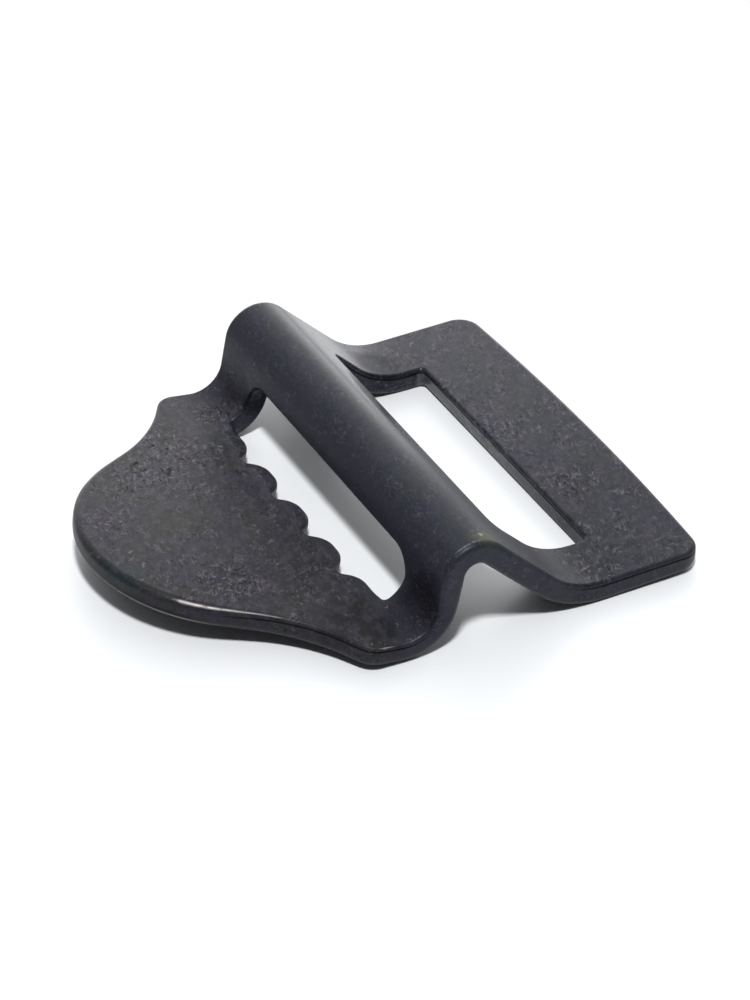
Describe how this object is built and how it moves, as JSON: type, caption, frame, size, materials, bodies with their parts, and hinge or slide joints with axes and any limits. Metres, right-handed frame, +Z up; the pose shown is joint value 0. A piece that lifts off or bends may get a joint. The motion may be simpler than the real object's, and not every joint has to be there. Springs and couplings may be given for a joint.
{
  "type": "tri-glide slide",
  "caption": "Bent sheet-steel strap slide: webbing slots on both sides of a raised crossbar, a toothed slot edge and a rounded thumb tab with ears.",
  "frame": {"origin": "centre of the footprint, on the plane that the slide rests on", "axes": "+X along the webbing from the thumb tab to the plate, +Y along the crossbar, +Z up out of the crossbar's crest"},
  "size_m": [0.042, 0.036, 0.0085],
  "materials": {
    "blackened_steel": "black oxide, satin, worn to bare steel on the rims"
  },
  "bodies": {
    "root": {"slide_body": "blackened_steel"}
  },
  "joints": []
}
